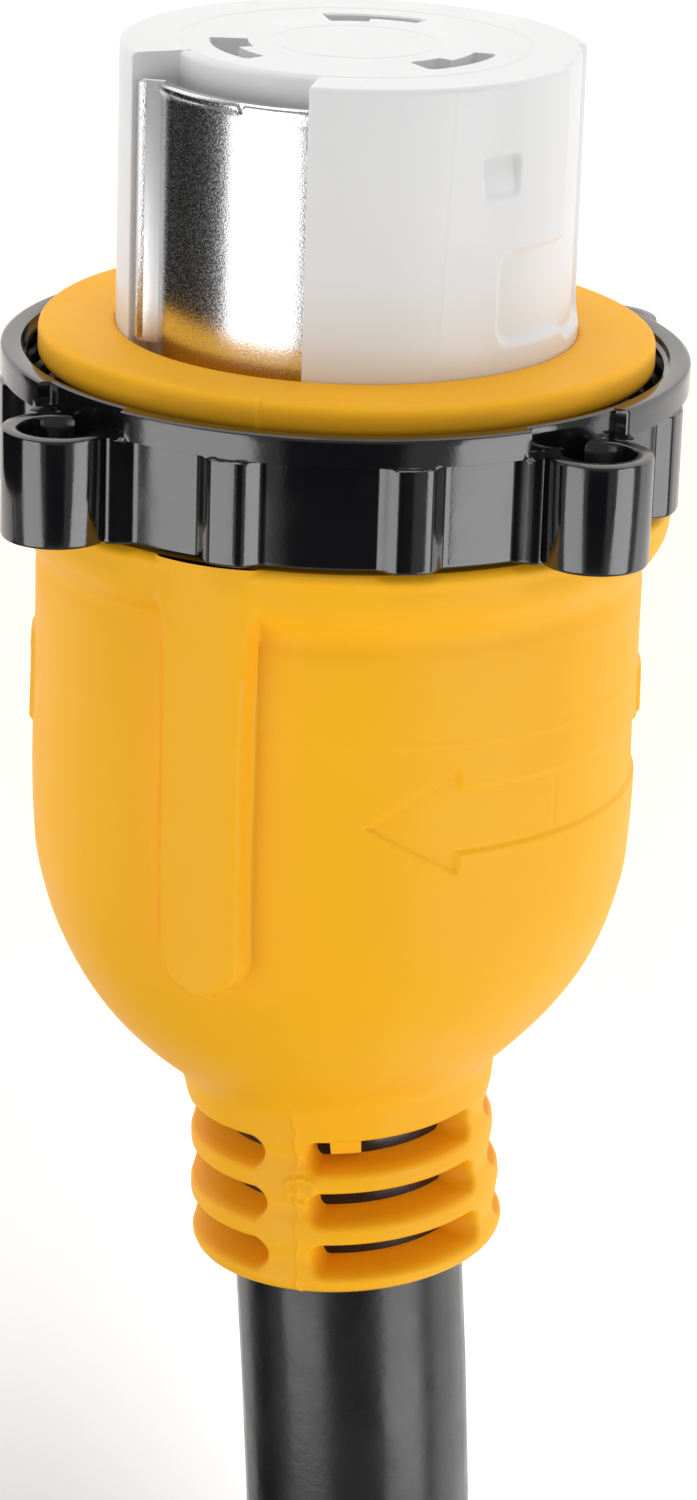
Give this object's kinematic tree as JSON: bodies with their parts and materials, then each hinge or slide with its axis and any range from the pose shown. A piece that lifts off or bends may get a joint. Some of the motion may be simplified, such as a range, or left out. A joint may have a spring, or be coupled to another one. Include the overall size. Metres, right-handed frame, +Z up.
{
  "type": "shore power cord",
  "caption": "Heavy shore power cord with a round locking connector, sliding threaded ring, tied coil and a straight-blade plug with a pull handle.",
  "frame": {"origin": "centre of the connector's front face, on its axis", "axes": "+Y along the connector's axis, from its face to the cord; +Z up from the floor that the cord lies on"},
  "size_m": [0.4595, 0.5894, 0.0854],
  "materials": {
    "white_nylon": "satin moulded nylon",
    "black_nylon": "matt",
    "zinc_steel": "zinc plated",
    "contact_brass": "bright",
    "nickel_plate": "bright nickel plate",
    "yellow_vinyl": "satin moulded vinyl",
    "yellow_gasket": "soft satin",
    "black_ring": "glossy moulded",
    "grip_vinyl": "matt",
    "cord_jacket": "semi-gloss",
    "black_wire": "satin",
    "white_wire": "satin",
    "red_wire": "satin",
    "green_wire": "satin",
    "copper": "bare copper",
    "tie_fabric": "hook and loop strap"
  },
  "bodies": {
    "cord_set": {"front_insulator": "white_nylon", "rear_insulator": "black_nylon", "assembly_screws": "zinc_steel", "hot_contact_x": "contact_brass", "hot_contact_y": "contact_brass", "neutral_contact": "contact_brass", "ground_shell": "nickel_plate", "ground_terminal": "contact_brass", "terminal_screws": "zinc_steel", "handle_body": "yellow_vinyl", "sealing_gasket": "yellow_gasket", "cord_grip": "grip_vinyl", "jacket_in_connector": "cord_jacket", "black_wire_connector": "black_wire", "white_wire_connector": "white_wire", "red_wire_connector": "red_wire", "green_wire_connector": "green_wire", "black_strands_connector": "copper", "white_strands_connector": "copper", "red_strands_connector": "copper", "green_strands_connector": "copper", "cord_lead": "cord_jacket", "cord_coil": "cord_jacket", "cord_tail": "cord_jacket", "coil_tie_left": "tie_fabric", "coil_tie_right": "tie_fabric", "coil_tie_front": "tie_fabric", "plug_body": "yellow_vinyl", "plug_face": "black_nylon", "hot_blade_x": "contact_brass", "hot_blade_y": "contact_brass", "neutral_blade": "contact_brass", "ground_pin": "contact_brass", "jacket_in_plug": "cord_jacket", "black_wire_plug": "black_wire", "red_wire_plug": "red_wire", "white_wire_plug": "white_wire", "green_wire_plug": "green_wire"},
    "slip_washer": {"slip_washer": "black_nylon"},
    "locking_ring": {"locking_ring": "black_ring"}
  },
  "joints": [
    {"name": "ring_slide", "type": "slide", "parent": "cord_set", "child": "slip_washer", "axis": [0, -1, 0], "range_m": [0, 0.0088]},
    {"name": "ring_spin", "type": "hinge", "parent": "slip_washer", "child": "locking_ring", "pos_m": [0, 0.0435, 0], "axis": [0, 1, 0], "continuous": true}
  ]
}
